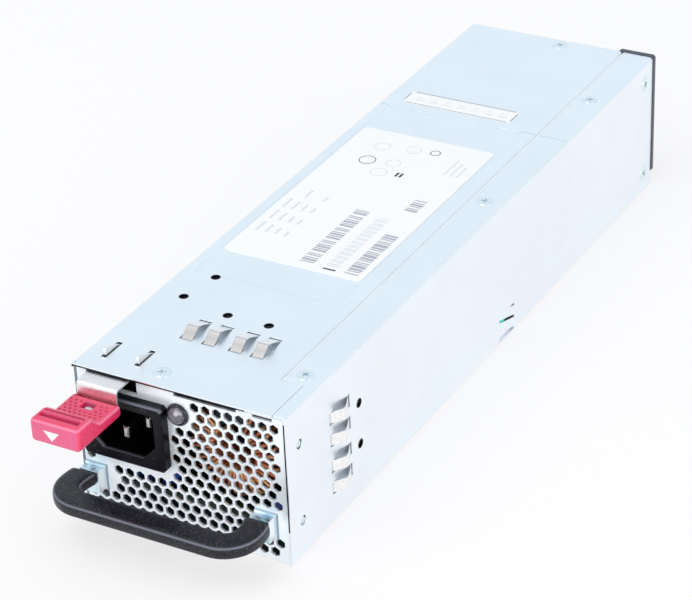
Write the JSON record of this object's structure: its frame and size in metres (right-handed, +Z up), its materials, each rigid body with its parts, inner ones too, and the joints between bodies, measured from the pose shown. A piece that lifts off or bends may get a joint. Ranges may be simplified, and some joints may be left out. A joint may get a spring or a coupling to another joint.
{
  "type": "hot swap server power supply",
  "caption": "Slim sheet metal server power supply with a perforated front, mains inlet, U grip, crimson release latch, rear edge connector and fan.",
  "frame": {"origin": "centre of the underside of the sheet metal casing", "axes": "+Z up, +Y from the front panel towards the rear connector, +X to the right seen from the front"},
  "size_m": [0.0808, 0.3089, 0.0566],
  "materials": {
    "zinc_sheet": "satin zinc plate",
    "screw_steel": "satin",
    "spring_steel": "satin",
    "white_label": "matt",
    "black_moulding": "fine texture",
    "tinned_brass": "tinned",
    "lamp_lens": "translucent",
    "grip_plastic": "speckled texture",
    "release_plastic": "satin",
    "green_board": "solder mask",
    "gold_plate": "polished",
    "fan_plastic": "satin",
    "clear_film": "matt",
    "choke_core": "coated",
    "copper_wire": "enamelled",
    "blue_coating": "gloss",
    "can_sleeve": "sleeved",
    "ferrite": "matt",
    "coil_tape": "tape",
    "sink_aluminium": "extruded"
  },
  "bodies": {
    "casing": {"cover": "zinc_sheet", "chassis": "zinc_sheet", "front_panel": "zinc_sheet", "rear_panel": "zinc_sheet", "cover_screws": "screw_steel", "wall_screws": "screw_steel", "wall_rivets": "screw_steel", "handle_screws": "screw_steel", "top_label": "white_label", "rear_label": "white_label", "inlet_housing": "black_moulding", "inlet_pins": "tinned_brass", "led_holder": "black_moulding", "led_lens": "lamp_lens", "handle_grip": "grip_plastic", "emi_top": "spring_steel", "emi_side": "spring_steel", "latch_anchor": "spring_steel", "connector_shroud": "black_moulding", "edge_board": "green_board", "edge_contacts": "gold_plate", "fan_frame": "black_moulding", "main_board": "green_board", "standoffs": "screw_steel", "insulator": "clear_film", "filter_core": "choke_core", "filter_winding": "copper_wire", "boost_core": "choke_core", "boost_winding": "copper_wire", "line_capacitors": "blue_coating", "bulk_capacitors": "can_sleeve", "transformer_core": "ferrite", "transformer_coil": "coil_tape", "heat_sinks": "sink_aluminium"},
    "latch": {"latch_strip": "spring_steel", "latch_tab": "release_plastic", "latch_stake": "screw_steel"},
    "fan": {"fan_rotor": "fan_plastic"}
  },
  "joints": [
    {"name": "latch_press", "type": "hinge", "parent": "casing", "child": "latch", "pos_m": [-0.0243, -0.092, 0.05235], "axis": [1, 0, 0], "range_deg": [0, 4], "stiffness_Nm_per_rad": 3, "springref_deg": -2.86},
    {"name": "fan_spin", "type": "hinge", "parent": "casing", "child": "fan", "pos_m": [-0.005, 0.127, 0.0269], "axis": [0, 1, 0], "continuous": true}
  ]
}
